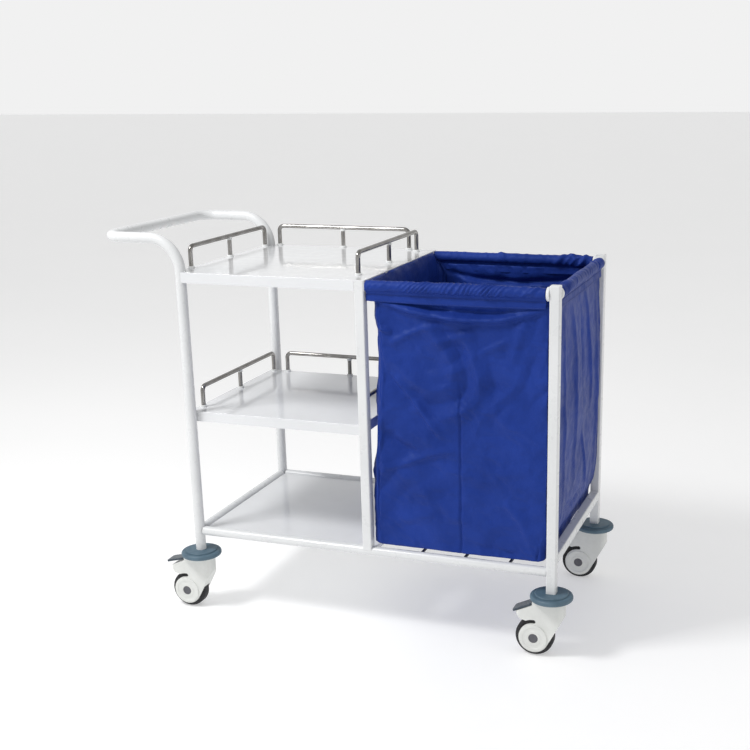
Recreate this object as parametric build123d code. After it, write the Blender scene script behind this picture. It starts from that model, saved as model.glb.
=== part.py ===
"""Linen trolley: white tube frame with two trays, a deck, a hanging linen bag and four braked casters.

Millimetres. +X points from the push handle towards the bag, +Y from the open front to the rear, +Z up.
The origin is on the floor, under the middle of the trolley's outline.
"""
import os
from math import cos, radians, sin

from build123d import *

# ---------------------------------------------------------------- driving dimensions
POST_SPAN = 1000.0        # left posts to right posts, axis to axis
SHELF_SPAN = 505.0        # left posts to middle posts
DEPTH = 518.0             # front posts to rear posts
HANDLE_REACH = 220.0      # left posts to the axis of the handle's cross bar
HANDLE_Z = 1030.0         # axis of the handle's arms
HANDLE_BEND_R = 85.0      # bend from post to arm
HANDLE_CORNER_R = 50.0    # bend from arm to cross bar
HANDLE_JOINT_Z = 905.0    # weld between left post and handle

ROUND_TUBE_D = 28.0       # left posts and push handle
RAIL_D = 25.0             # round rails of the base and of the bag frame
SQUARE_TUBE = 25.0        # middle posts, right posts and the right cross rail
SQUARE_TUBE_CORNER = 3.0
WALL = 1.5                # wall of every frame tube

BASE_RAIL_Z = 227.0
CROSS_RAIL_Z = 259.0
BAG_RAIL_Z = 930.0
BAG_RAIL_LEFT_Z = 921.5   # under the top tray's right edge
RIGHT_POST_TOP = 949.0
CAP_HEIGHT = 2.0
CAP_PLUG = 12.0           # depth of a post cap's plug inside the post
CAP_ROUND = 1.0
MIDDLE_POST_FOOT = 4.0    # start of a middle post's saddle cut above the base rail's axis

TOP_TRAY_Z = 945.0        # upper surface of each tray
MIDDLE_TRAY_Z = 565.0
DECK_Z = 231.0
TRAY_HEIGHT = 27.0
DECK_HEIGHT = 14.0
SHEET = 1.2
SHEET_ROUND = 1.0         # bend along the top of a folded rim
TOP_TRAY_CORNER = 3.0     # corner radii in plan
MIDDLE_TRAY_CORNER = 2.0
DECK_CORNER = 2.0
DECK_GAP = 1.5            # deck's rim to the base rails
POST_SLOT_GAP = 0.1       # tray rim to the middle post it is cut for
TRAY_RIGHT_OVERHANG = 15.0
TRAY_RIGHT_RIM = 8.0      # the top tray's rim is short where the bag hangs under it

GUARD_D = 12.0            # stainless guard rails round the trays
GUARD_HEIGHT = 57.0       # tray surface to bar axis
GUARD_BEND_R = 14.0
GUARD_WALL = 1.0
SIDE_GUARD_LENGTH = 428.0
REAR_GUARD_LENGTH = 410.0
SIDE_GUARD_SHIFT = 17.0   # the side guards sit this far behind the middle of the tray
GUARD_INSET = 9.0         # leg axis to the tray's edge
MIDDLE_SIDE_INSET = 16.0  # the same for the left and right guards of the middle tray
TOP_RIGHT_GUARD_INSET = 45.0
FOOT_D, FOOT_HEIGHT, FOOT_ROUND = 18.0, 5.0, 2.0
SADDLE_D, SADDLE_HEIGHT = 14.5, 7.0

ROD_D = 8.0               # bars under the bag
ROD_Z = 232.0
ROD_OFFSETS = (649.0, 766.0, 886.0)   # from the left posts
ROD_BITE = 2.0            # a rod's end past the base rail's inner face

COLLAR_D, COLLAR_LENGTH, COLLAR_ROUND = 34.0, 8.0, 2.5
HEM_GAP = 0.5             # ends of the bag's hems to the tray and the collars
HEM_HALF = 15.0           # half the width of the bag's hem sleeve
HEM_CLOTH = 2.0
HEM_DEPTH = 51.0          # top of the hem to its stitched lower edge
LEFT_HEM_DEPTH = 42.0     # the same under the tray's edge
BAG_WALL = 3.0
BAG_TOP_Z = BAG_RAIL_Z + HEM_HALF - HEM_DEPTH + HEM_CLOTH
BAG_CORNER_LEFT = 20.0    # how far the bag's corners are cut back
BAG_CORNER_X = 968.0      # where the bag's front turns in before the right posts
BAG_STATIONS = [          # height, left and right face from the left posts, reach past the posts' axes
    (254.0, 531.0, 980.0, 0.0),
    (285.0, 530.0, 982.0, 1.0),
    (330.0, 530.0, 998.0, 2.0),
    (500.0, 537.0, 1006.0, 3.0),
    (640.0, 547.0, 1008.0, 3.0),
    (800.0, 553.0, 1006.0, 3.0),
    (BAG_TOP_Z, 518.8, 1003.0, 3.0),
]

BUMPER_R = 55.0
BUMPER_BOTTOM = 155.0
BUMPER_RIM_TOP = 168.0
BUMPER_TOP = 172.0
BUMPER_STEP_R = 43.0
BUMPER_TOP_ROUND, BUMPER_LOW_ROUND, BUMPER_STEP_ROUND = 6.0, 4.0, 3.0

WHEEL_R = 50.0
TRAIL = 41.0              # wheel axle behind the swivel axis
TYRE_HALF = 14.0          # half the width of the tyre
TYRE_INNER_R = 38.0
TYRE_ROUND = 5.5
CHEEK_HALF = 22.0         # half the width of the caster housing
WELL_HALF = 16.0
WELL_R = 53.5
CHEEK_R = 39.0
HOUSING_TOP = 151.0
HEAD_FRONT = 36.0         # flat face of the housing ahead of the swivel axis
HORN_TIP = 91.0           # tip of the housing's horn behind the swivel axis
HEAD_BOTTOM = 111.0       # lower edge of the housing's flat face
LEG_TOUCH = (-6.6, 31.6)  # where the front of the leg meets the round cheek
HORN_UNDERSIDE = [        # X and Z from the swivel axis, from the cheek to the tip
    (-50.0, 92.0), (-66.0, 97.0), (-76.0, 99.0), (-89.0, 113.0), (-HORN_TIP, 116.5),
]
HORN_EDGES = (54.0, 9.0)  # ends of the horn's top along the pedal
HEAD_BACK = [(-45.5, 146.0), (-44.0, HOUSING_TOP)]
HEAD_CORNER = 15.0        # plan corner radius of the housing
AXLE_R = 4.0
AXLE_HEAD_R = 7.0
AXLE_INSET = 0.5          # ends of the axle to the faces of the cheeks
SEAT_R, SEAT_DEPTH = 8.0, 3.0         # seats of the axle's head and nut
STEM_R = 6.0
STEM_BOTTOM = 110.0
STEM_BORE_BOTTOM = 108.0
FLANGE_R = 17.0
THRUST_GAP = 0.4          # housing's top to the stem's flange
PLUG_LENGTH = 40.0        # plug of the stem inside the post
PLUG_GAP = 0.1
RUNNING_GAP = 0.05        # radial clearance of every running fit
COVER_R, COVER_THICK = 36.0, 2.6
COVER_BEVEL = 1.5
COVER_STEP = 1.0          # depth of the ring-shaped recess in a cover
COVER_RING = ((20.0, 19.0), (28.0, 29.0))   # the recess: floor and edge radii, inside and outside
HUB_CAP_R, HUB_CAP_HEIGHT, HUB_CAP_ROUND = 12.5, 3.0, 1.8
HUB_CAP_GAP = 0.1
RIM_INSET = 1.0           # sides of the wheel's rim to the sides of the tyre
RIM_THICK = 5.0
WEB_HALF = 4.0
HUB_R = 12.0
HUB_GAP = 0.4             # ends of the hub to the housing
PEDAL_PIVOT = (-38.0, 146.0)   # X and Z from the swivel axis
PEDAL_LENGTH = 66.0
PEDAL_HALF = 20.0
PEDAL_THICK = 5.0
PEDAL_CORNER, PEDAL_ROUND = 6.0, 2.0
PEDAL_DOWN_ANGLE = 25.5   # slope of a pressed pedal, and of the horn below it
PEDAL_TRAVEL = 11.0       # degrees from pressed to raised
PEDAL_GAP = 0.6           # pressed pedal to horn
PEDAL_ROOT = 10.0         # length of the narrow root between the housing's ears
ROOT_WIDTH = 27.0
BARREL_R, BARREL_GAP = 4.0, 0.7
TRUNNION_R, TRUNNION_LENGTH, TRUNNION_GAP = 2.5, 36.0, 0.5
POCKET_HALF = 14.0        # half the width of the pedal's pocket
POCKET_LENGTH = 28.0      # floor of the pocket along the pedal
POCKET_MOUTH = -66.0      # end of the pocket at the housing's top

# ---------------------------------------------------------------- derived places
OUTLINE_LEFT = HANDLE_REACH + ROUND_TUBE_D / 2
OUTLINE_RIGHT = POST_SPAN + BUMPER_R
LEFT_X = -(OUTLINE_RIGHT - OUTLINE_LEFT) / 2
MIDDLE_X = LEFT_X + SHELF_SPAN
RIGHT_X = LEFT_X + POST_SPAN
HORN_OFFSET = -(PEDAL_THICK / 2 + PEDAL_GAP)   # pedal's middle plane to the horn
FRONT_Y, REAR_Y = -DEPTH / 2, DEPTH / 2
HALF_TUBE = SQUARE_TUBE / 2
SIDES = {"front": FRONT_Y, "rear": REAR_Y}
CASTERS = {
    "front_left": (LEFT_X, FRONT_Y, False),
    "front_right": (RIGHT_X, FRONT_Y, True),
    "rear_left": (LEFT_X, REAR_Y, False),
    "rear_right": (RIGHT_X, REAR_Y, False),
}                         # swivel axis, and whether the brake pedal is pressed


# ---------------------------------------------------------------- tubes and bars
def bar(start, end, radius):
    """A round bar between two points."""
    axis = Vector(*end) - Vector(*start)
    return Plane(origin=start, z_dir=axis) * Pos(0, 0, axis.length / 2) * Cylinder(radius, axis.length)


def round_tube(start, end, diameter):
    """A straight round tube between two points."""
    return bar(start, end, diameter / 2) - bar(start, end, diameter / 2 - WALL)


def square_section():
    """The section of the square frame tube, with rounded corners."""
    inner = SQUARE_TUBE - 2 * WALL
    outline = RectangleRounded(SQUARE_TUBE, SQUARE_TUBE, SQUARE_TUBE_CORNER)
    return outline - RectangleRounded(inner, inner, SQUARE_TUBE_CORNER - WALL)


def square_post(x, y, bottom, top):
    """An upright square tube."""
    return Pos(x, y, bottom) * extrude(square_section(), top - bottom)


def bent_tube(points, radii, diameter, wall):
    """A round tube bent through a list of points."""
    path = FilletPolyline(*points, radius=radii)
    start = Plane(origin=points[0], z_dir=Vector(*points[1]) - Vector(*points[0]))
    radius = diameter / 2
    return sweep(start * Circle(radius), path=path) - sweep(start * Circle(radius - wall), path=path)


# ---------------------------------------------------------------- frame
def push_handle():
    """The U-shaped handle's bent tube, with legs that carry the left posts on upwards."""
    bar_x = LEFT_X - HANDLE_REACH
    points = [
        (LEFT_X, FRONT_Y, HANDLE_JOINT_Z),
        (LEFT_X, FRONT_Y, HANDLE_Z),
        (bar_x, FRONT_Y, HANDLE_Z),
        (bar_x, REAR_Y, HANDLE_Z),
        (LEFT_X, REAR_Y, HANDLE_Z),
        (LEFT_X, REAR_Y, HANDLE_JOINT_Z),
    ]
    radii = [HANDLE_BEND_R, HANDLE_CORNER_R, HANDLE_CORNER_R, HANDLE_BEND_R]
    return bent_tube(points, radii, ROUND_TUBE_D, WALL)


def left_post(y):
    return round_tube((LEFT_X, y, BUMPER_BOTTOM), (LEFT_X, y, HANDLE_JOINT_Z), ROUND_TUBE_D)


def middle_post(y):
    """Stands on the base rail with a saddle cut, and ends under the top tray's sheet."""
    post = square_post(MIDDLE_X, y, BASE_RAIL_Z + MIDDLE_POST_FOOT, TOP_TRAY_Z - SHEET)
    rail = bar((MIDDLE_X - SQUARE_TUBE, y, BASE_RAIL_Z), (MIDDLE_X + SQUARE_TUBE, y, BASE_RAIL_Z), RAIL_D / 2)
    return post - rail


def right_post(y):
    return square_post(RIGHT_X, y, BUMPER_BOTTOM, RIGHT_POST_TOP)


def post_caps():
    """Flat plastic caps that plug the right posts."""
    side = SQUARE_TUBE - 2 * WALL - 4 * RUNNING_GAP
    plug = extrude(RectangleRounded(side, side, SQUARE_TUBE_CORNER - CAP_ROUND), CAP_PLUG)
    lid = extrude(RectangleRounded(SQUARE_TUBE, SQUARE_TUBE, SQUARE_TUBE_CORNER), CAP_HEIGHT)
    lid = fillet(lid.edges().group_by(Axis.Z)[-1], CAP_ROUND)
    cap = lid + Pos(0, 0, -CAP_PLUG) * plug
    return [Pos(RIGHT_X, y, RIGHT_POST_TOP) * cap for y in SIDES.values()]


def base_side_rail(y):
    """Front or rear rail of the base, from left post to right post."""
    start, end = LEFT_X + ROUND_TUBE_D / 2, RIGHT_X - HALF_TUBE
    return round_tube((start, y, BASE_RAIL_Z), (end, y, BASE_RAIL_Z), RAIL_D)


def base_left_rail():
    reach = DEPTH / 2 - ROUND_TUBE_D / 2
    return round_tube((LEFT_X, -reach, BASE_RAIL_Z), (LEFT_X, reach, BASE_RAIL_Z), RAIL_D)


def right_cross_rail():
    length = DEPTH - SQUARE_TUBE
    tube = extrude(square_section(), length)
    return Pos(RIGHT_X, length / 2, CROSS_RAIL_Z) * Rot(90, 0, 0) * tube


def bag_side_rail(y):
    """Front or rear rail of the bag frame, from the top tray to the right post."""
    start = MIDDLE_X + TRAY_RIGHT_OVERHANG
    return round_tube((start, y, BAG_RAIL_Z), (RIGHT_X - HALF_TUBE, y, BAG_RAIL_Z), RAIL_D)


def bag_cross_rail(x, z):
    reach = DEPTH / 2 - HALF_TUBE
    return round_tube((x, -reach, z), (x, reach, z), RAIL_D)


def rail_collars():
    """Plastic collars where the bag rails meet the right posts."""
    ring = Cylinder(COLLAR_D / 2, COLLAR_LENGTH)
    ring = fillet(ring.edges(), COLLAR_ROUND) - Cylinder(RAIL_D / 2 + RUNNING_GAP, COLLAR_LENGTH)
    half = COLLAR_LENGTH / 2
    post_end = RIGHT_X - HALF_TUBE - half
    collars = [Pos(post_end, y, BAG_RAIL_Z) * Rot(0, 90, 0) * ring for y in SIDES.values()]
    reach = DEPTH / 2 - HALF_TUBE - half
    collars += [Pos(RIGHT_X, y, BAG_RAIL_Z) * Rot(90, 0, 0) * ring for y in (-reach, reach)]
    return collars


# ---------------------------------------------------------------- trays and deck
def folded_tray(low, high, top, height, corner):
    """A sheet tray with its rim folded down, between two plan corners."""
    size = (high[0] - low[0], high[1] - low[1])
    middle = ((low[0] + high[0]) / 2, (low[1] + high[1]) / 2)
    outside = Pos(*middle, top - height) * extrude(RectangleRounded(*size, corner), height)
    outside = fillet(outside.edges().group_by(Axis.Z)[-1], SHEET_ROUND)
    hollow = RectangleRounded(size[0] - 2 * SHEET, size[1] - 2 * SHEET, corner)
    return outside - Pos(*middle, top - height) * extrude(hollow, height - SHEET)


def left_post_space(y, tray_z):
    """The room a left post takes where it passes a tray."""
    low, high = (LEFT_X, y, tray_z - 2 * TRAY_HEIGHT), (LEFT_X, y, tray_z + TRAY_HEIGHT)
    return bar(low, high, ROUND_TUBE_D / 2 + RUNNING_GAP)


def top_tray():
    """Reaches over the middle posts, is notched round the left posts, and has a short rim by the bag."""
    edge = DEPTH / 2 + HALF_TUBE
    low = (LEFT_X - HALF_TUBE, -edge)
    high = (MIDDLE_X + TRAY_RIGHT_OVERHANG, edge)
    tray = folded_tray(low, high, TOP_TRAY_Z, TRAY_HEIGHT, TOP_TRAY_CORNER)
    corner = Box(ROUND_TUBE_D, ROUND_TUBE_D, 2 * TRAY_HEIGHT)
    post = Box(SQUARE_TUBE + POST_SLOT_GAP, SQUARE_TUBE + POST_SLOT_GAP, TRAY_HEIGHT)
    for side in (-1, 1):
        y = side * DEPTH / 2
        tray -= left_post_space(y, TOP_TRAY_Z)
        tray -= Pos(LEFT_X - ROUND_TUBE_D / 2, y + side * ROUND_TUBE_D / 2, TOP_TRAY_Z) * corner
        tray -= Pos(MIDDLE_X, y, TOP_TRAY_Z - SHEET - TRAY_HEIGHT / 2) * post
    cut = Box(TRAY_RIGHT_OVERHANG, DEPTH - SQUARE_TUBE, TRAY_HEIGHT)
    return tray - Pos(high[0], 0, TOP_TRAY_Z - TRAY_RIGHT_RIM - TRAY_HEIGHT / 2) * cut


def middle_tray():
    """Hangs between the posts, and is notched round the left posts."""
    edge = DEPTH / 2 - HALF_TUBE
    low = (LEFT_X - HALF_TUBE, -edge)
    high = (MIDDLE_X - HALF_TUBE, edge)
    tray = folded_tray(low, high, MIDDLE_TRAY_Z, TRAY_HEIGHT, MIDDLE_TRAY_CORNER)
    for y in SIDES.values():
        tray -= left_post_space(y, MIDDLE_TRAY_Z)
    return tray


def deck_panel():
    edge = DEPTH / 2 - RAIL_D / 2 - DECK_GAP
    low = (LEFT_X + RAIL_D / 2 + DECK_GAP, -edge)
    high = (MIDDLE_X + HALF_TUBE, edge)
    return folded_tray(low, high, DECK_Z, DECK_HEIGHT, DECK_CORNER)


# ---------------------------------------------------------------- guard rails
def guard(start, along, length, tray_z):
    """A hoop on two legs, with a third leg at its middle. along is a unit direction."""
    def at(distance, z):
        return (start[0] + along[0] * distance, start[1] + along[1] * distance, z)

    top = tray_z + GUARD_HEIGHT
    points = [at(0, tray_z), at(0, top), at(length, top), at(length, tray_z)]
    hoop = bent_tube(points, [GUARD_BEND_R] * 2, GUARD_D, GUARD_WALL)
    leg = bar(at(length / 2, tray_z), at(length / 2, top - GUARD_D / 2 - SADDLE_HEIGHT / 2), GUARD_D / 2)
    return [hoop, leg]


def guard_places(tray_z, left_x, right_x, rear_y, rear_middle):
    """Start, direction, length and tray of the left, rear and right guards of one tray."""
    side_start = SIDE_GUARD_SHIFT - SIDE_GUARD_LENGTH / 2
    rear_start = rear_middle - REAR_GUARD_LENGTH / 2
    return {
        "left": ((left_x, side_start), (0, 1), SIDE_GUARD_LENGTH, tray_z),
        "rear": ((rear_start, rear_y), (1, 0), REAR_GUARD_LENGTH, tray_z),
        "right": ((right_x, side_start), (0, 1), SIDE_GUARD_LENGTH, tray_z),
    }


def all_guards():
    """The places of the six guards, by node name."""
    outer = DEPTH / 2 + HALF_TUBE - GUARD_INSET
    inner = DEPTH / 2 - HALF_TUBE - GUARD_INSET
    top_left = LEFT_X - HALF_TUBE + GUARD_INSET
    top_right = MIDDLE_X + TRAY_RIGHT_OVERHANG - TOP_RIGHT_GUARD_INSET
    middle_left = LEFT_X - HALF_TUBE + MIDDLE_SIDE_INSET
    middle_right = MIDDLE_X - HALF_TUBE - MIDDLE_SIDE_INSET
    top = guard_places(TOP_TRAY_Z, top_left, top_right, outer, (top_left + top_right) / 2)
    middle = guard_places(MIDDLE_TRAY_Z, middle_left, middle_right, inner, (LEFT_X + MIDDLE_X) / 2)
    places = {f"top_guard_{side}": place for side, place in top.items()}
    places.update({f"middle_guard_{side}": place for side, place in middle.items()})
    return places


def guard_feet(places):
    """A plastic foot collar round every guard leg."""
    ring = Cylinder(FOOT_D / 2, FOOT_HEIGHT)
    ring = fillet(ring.edges().group_by(Axis.Z)[-1], FOOT_ROUND)
    ring -= Cylinder(GUARD_D / 2 + RUNNING_GAP, FOOT_HEIGHT)
    feet = []
    for start, along, length, tray_z in places.values():
        for share in (0.0, 0.5, 1.0):
            x = start[0] + along[0] * length * share
            y = start[1] + along[1] * length * share
            feet.append(Pos(x, y, tray_z + FOOT_HEIGHT / 2) * ring)
    return feet


def guard_saddles(places):
    """A plastic saddle between each middle leg and its bar."""
    saddles = []
    for start, along, length, tray_z in places.values():
        x = start[0] + along[0] * length / 2
        y = start[1] + along[1] * length / 2
        bar_z = tray_z + GUARD_HEIGHT
        low = bar_z - GUARD_D / 2 - SADDLE_HEIGHT / 2
        body = bar((x, y, low), (x, y, low + SADDLE_HEIGHT), SADDLE_D / 2)
        reach = SADDLE_D
        ends = [(x - along[0] * reach, y - along[1] * reach, bar_z),
                (x + along[0] * reach, y + along[1] * reach, bar_z)]
        saddles.append(body - bar(*ends, GUARD_D / 2 + RUNNING_GAP))
    return saddles


# ---------------------------------------------------------------- bag
def bag_outline(left, right, half_depth, z, inset):
    """The bag's plan outline at one height, with its corners cut back."""
    x0, x1, y = LEFT_X + left + inset, LEFT_X + right - inset, half_depth - inset
    left_cut, right_cut = BAG_CORNER_LEFT, right - BAG_CORNER_X
    points = [(x0 + left_cut, -y), (x1 - right_cut, -y), (x1, -y + right_cut), (x1, y - right_cut),
              (x1 - right_cut, y), (x0 + left_cut, y), (x0, y - left_cut), (x0, -y + left_cut)]
    return Plane.XY.offset(z) * make_face(Polyline(*points, close=True))


def bag_body():
    """The open-topped bag, which swells towards the right and tucks in above the cross rail."""
    outer, inner = ([bag_outline(left, right, DEPTH / 2 + more, z, inset)
                     for z, left, right, more in BAG_STATIONS] for inset in (0.0, BAG_WALL))
    inner[0] = Pos(0, 0, BAG_WALL) * inner[0]
    inner[-1] = Pos(0, 0, HEM_CLOTH / 2) * inner[-1]
    return loft(outer, ruled=True) - loft(inner, ruled=True)


def hem_sleeve(length, depth):
    """A sewn sleeve that runs along +X round a rail whose axis is the X axis."""
    def loop(half, low):
        arch = Circle(half) + Pos(0, low / 2) * Rectangle(2 * half, -low)
        return Plane.YZ * arch

    low = HEM_HALF - depth
    outside = extrude(loop(HEM_HALF, low), length)
    return outside - extrude(loop(HEM_HALF - HEM_CLOTH, low + HEM_CLOTH), length)


def linen_bag():
    """Bag and hems, sewn as one piece."""
    start = MIDDLE_X + TRAY_RIGHT_OVERHANG + HEM_GAP
    side_length = RIGHT_X - HALF_TUBE - COLLAR_LENGTH - HEM_GAP - start
    cross_reach = DEPTH / 2 - HALF_TUBE - COLLAR_LENGTH - HEM_GAP
    bag = bag_body()
    for y in SIDES.values():
        bag += Pos(start, y, BAG_RAIL_Z) * hem_sleeve(side_length, HEM_DEPTH)
    cross_rails = ((RIGHT_X, BAG_RAIL_Z, HEM_DEPTH), (MIDDLE_X, BAG_RAIL_LEFT_Z, LEFT_HEM_DEPTH))
    for x, z, depth in cross_rails:
        bag += Pos(x, -cross_reach, z) * Rot(0, 0, 90) * hem_sleeve(2 * cross_reach, depth)
    return bag


def bag_rods():
    """Three bars between the base rails, under the bag."""
    reach = DEPTH / 2 - RAIL_D / 2 + ROD_BITE
    rods = []
    for offset in ROD_OFFSETS:
        x = LEFT_X + offset
        rod = bar((x, -reach, ROD_Z), (x, reach, ROD_Z), ROD_D / 2)
        for y in SIDES.values():
            rod -= bar((x - RAIL_D, y, BASE_RAIL_Z), (x + RAIL_D, y, BASE_RAIL_Z), RAIL_D / 2)
        rods.append(rod)
    return rods


# ---------------------------------------------------------------- bumpers and stems
def bumper(hole):
    """A stepped round bumper with a hole of the post's shape."""
    rim = Cylinder(BUMPER_R, BUMPER_RIM_TOP - BUMPER_BOTTOM, align=(Align.CENTER, Align.CENTER, Align.MIN))
    rim = fillet(rim.edges().group_by(Axis.Z)[-1], BUMPER_TOP_ROUND)
    rim = fillet(rim.edges().group_by(Axis.Z)[0], BUMPER_LOW_ROUND)
    step = Cylinder(BUMPER_STEP_R, BUMPER_TOP - BUMPER_BOTTOM, align=(Align.CENTER, Align.CENTER, Align.MIN))
    step = fillet(step.edges().group_by(Axis.Z)[-1], BUMPER_STEP_ROUND)
    return rim + step - extrude(hole, BUMPER_TOP - BUMPER_BOTTOM)


def bumpers():
    round_hole = Circle(ROUND_TUBE_D / 2 + RUNNING_GAP)
    side = SQUARE_TUBE + 2 * RUNNING_GAP
    square_hole = RectangleRounded(side, side, SQUARE_TUBE_CORNER)
    holes = {LEFT_X: round_hole, RIGHT_X: square_hole}
    return [Pos(x, y, BUMPER_BOTTOM) * bumper(hole) for x, hole in holes.items() for y in SIDES.values()]


def caster_stems():
    """Swivel pins with a thrust flange and a plug that fills the post's lower end."""
    pin = bar((0, 0, STEM_BOTTOM), (0, 0, BUMPER_BOTTOM), STEM_R)
    flange = bar((0, 0, HOUSING_TOP + THRUST_GAP), (0, 0, BUMPER_BOTTOM), FLANGE_R)
    stems = []
    for x, bore in ((LEFT_X, ROUND_TUBE_D / 2 - WALL), (RIGHT_X, HALF_TUBE - WALL)):
        plug = bar((0, 0, BUMPER_BOTTOM), (0, 0, BUMPER_BOTTOM + PLUG_LENGTH), bore - PLUG_GAP)
        stems += [Pos(x, y, 0) * (pin + flange + plug) for y in SIDES.values()]
    return stems


# ---------------------------------------------------------------- casters, on their own swivel axis
def pedal_line(distance, offset, angle):
    """A point in the X-Z plane, out from the pedal's pivot and above its middle plane."""
    slope = radians(angle)
    x = PEDAL_PIVOT[0] - distance * cos(slope) - offset * sin(slope)
    z = PEDAL_PIVOT[1] - distance * sin(slope) + offset * cos(slope)
    return (x, z)


def along_y(x, z, radius, half):
    """A cylinder about an axis parallel to Y, centred on the caster's middle plane."""
    return Pos(x, 0, z) * Rot(90, 0, 0) * Cylinder(radius, 2 * half)


def side_profile():
    """The housing from the side: head, leg, round cheek, and the horn over the wheel."""
    horn_top = [pedal_line(distance, HORN_OFFSET, PEDAL_DOWN_ANGLE) for distance in HORN_EDGES]
    head = [(HEAD_FRONT, HOUSING_TOP), (HEAD_FRONT, HEAD_BOTTOM), LEG_TOUCH, (-TRAIL, WHEEL_R)]
    body = make_face(Polyline(*head, *HORN_UNDERSIDE, *horn_top, *HEAD_BACK, close=True))
    cheek = Pos(-TRAIL, WHEEL_R) * Circle(CHEEK_R)
    ring = Circle(WHEEL_R) - Circle(CHEEK_R)
    far = 3 * CHEEK_R
    sector = make_face(Polyline((0, 0), (0, far), (-far, far), (-far, -CHEEK_R), close=True))
    end_r = (WHEEL_R - CHEEK_R) / 2
    slot = (ring & sector) + Pos(0, CHEEK_R + end_r) * Circle(end_r)
    return body + cheek - Pos(-TRAIL, WHEEL_R) * slot


def housing():
    """The moulded fork, hollow over the wheel, with a pocket for the pedal."""
    solid = extrude(Plane.XZ * side_profile(), CHEEK_HALF, both=True)
    length = HEAD_FRONT + HORN_TIP
    plan = RectangleRounded(length, 2 * CHEEK_HALF, HEAD_CORNER)
    solid &= Pos((HEAD_FRONT - HORN_TIP) / 2, 0, 0) * extrude(plan, HOUSING_TOP)
    solid -= along_y(-TRAIL, WHEEL_R, WELL_R, WELL_HALF)
    solid -= along_y(-TRAIL, WHEEL_R, AXLE_R + RUNNING_GAP, CHEEK_HALF)
    inner_half = CHEEK_HALF - SEAT_DEPTH
    solid -= along_y(-TRAIL, WHEEL_R, SEAT_R, CHEEK_HALF) - along_y(-TRAIL, WHEEL_R, SEAT_R, inner_half)
    solid -= bar((0, 0, STEM_BORE_BOTTOM), (0, 0, HOUSING_TOP), STEM_R + RUNNING_GAP)
    barrel_r = BARREL_R + BARREL_GAP
    pocket = [
        (PEDAL_PIVOT[0] + barrel_r, HOUSING_TOP + 1),
        (PEDAL_PIVOT[0] + barrel_r, PEDAL_PIVOT[1]),
        pedal_line(0, HORN_OFFSET, PEDAL_DOWN_ANGLE),
        pedal_line(POCKET_LENGTH, HORN_OFFSET, PEDAL_DOWN_ANGLE),
        (POCKET_MOUTH, HOUSING_TOP + 1),
    ]
    solid -= extrude(Plane.XZ * make_face(Polyline(*pocket, close=True)), POCKET_HALF, both=True)
    solid -= along_y(*PEDAL_PIVOT, barrel_r, POCKET_HALF)
    solid -= along_y(*PEDAL_PIVOT, TRUNNION_R + RUNNING_GAP, TRUNNION_LENGTH / 2 + TRUNNION_GAP)
    return solid


def side_covers():
    """Round covers on both cheeks: a bevelled outer ring, a recessed ring and a boss round the hub cap."""
    low = COVER_THICK - COVER_STEP
    bore = HUB_CAP_R + HUB_CAP_GAP
    (inner_floor, inner_edge), (outer_floor, outer_edge) = COVER_RING
    profile = [(bore, 0), (COVER_R, 0), (COVER_R, low), (COVER_R - COVER_BEVEL, COVER_THICK),
               (outer_edge, COVER_THICK), (outer_floor, low), (inner_floor, low), (inner_edge, COVER_THICK),
               (bore, COVER_THICK)]
    section = Plane.XZ * make_face(Polyline(*profile, close=True))
    cover = revolve(section, Axis.Z)
    return [Pos(-TRAIL, side * CHEEK_HALF, WHEEL_R) * Rot(-90 * side, 0, 0) * cover for side in (-1, 1)]


def hub_caps():
    """Domed caps over the axle's ends."""
    cap = Cylinder(HUB_CAP_R, HUB_CAP_HEIGHT)
    cap = fillet(cap.edges().group_by(Axis.Z)[-1], HUB_CAP_ROUND)
    middle = CHEEK_HALF + HUB_CAP_HEIGHT / 2
    return [Pos(-TRAIL, side * middle, WHEEL_R) * Rot(-90 * side, 0, 0) * cap for side in (-1, 1)]


def axle():
    """A headed axle bolt with its nut."""
    half = CHEEK_HALF - AXLE_INSET
    heads = along_y(-TRAIL, WHEEL_R, AXLE_HEAD_R, half)
    heads -= along_y(-TRAIL, WHEEL_R, AXLE_HEAD_R, CHEEK_HALF - SEAT_DEPTH)
    return along_y(-TRAIL, WHEEL_R, AXLE_R, half) + heads


def wheel_core():
    """Rim, web and hub in one moulding, with a running bore."""
    rim = along_y(-TRAIL, WHEEL_R, TYRE_INNER_R, TYRE_HALF - RIM_INSET)
    recess = along_y(-TRAIL, WHEEL_R, TYRE_INNER_R - RIM_THICK, TYRE_HALF)
    recess -= along_y(-TRAIL, WHEEL_R, TYRE_INNER_R, WEB_HALF)
    hub = along_y(-TRAIL, WHEEL_R, HUB_R, WELL_HALF - HUB_GAP)
    return rim - recess + hub - along_y(-TRAIL, WHEEL_R, AXLE_R + RUNNING_GAP, WELL_HALF)


def tyre():
    """A soft tyre with a rounded tread."""
    band = Cylinder(WHEEL_R, 2 * TYRE_HALF)
    band = fillet(band.edges(), TYRE_ROUND) - Cylinder(TYRE_INNER_R, 2 * TYRE_HALF)
    return Pos(-TRAIL, 0, WHEEL_R) * Rot(90, 0, 0) * band


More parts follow.
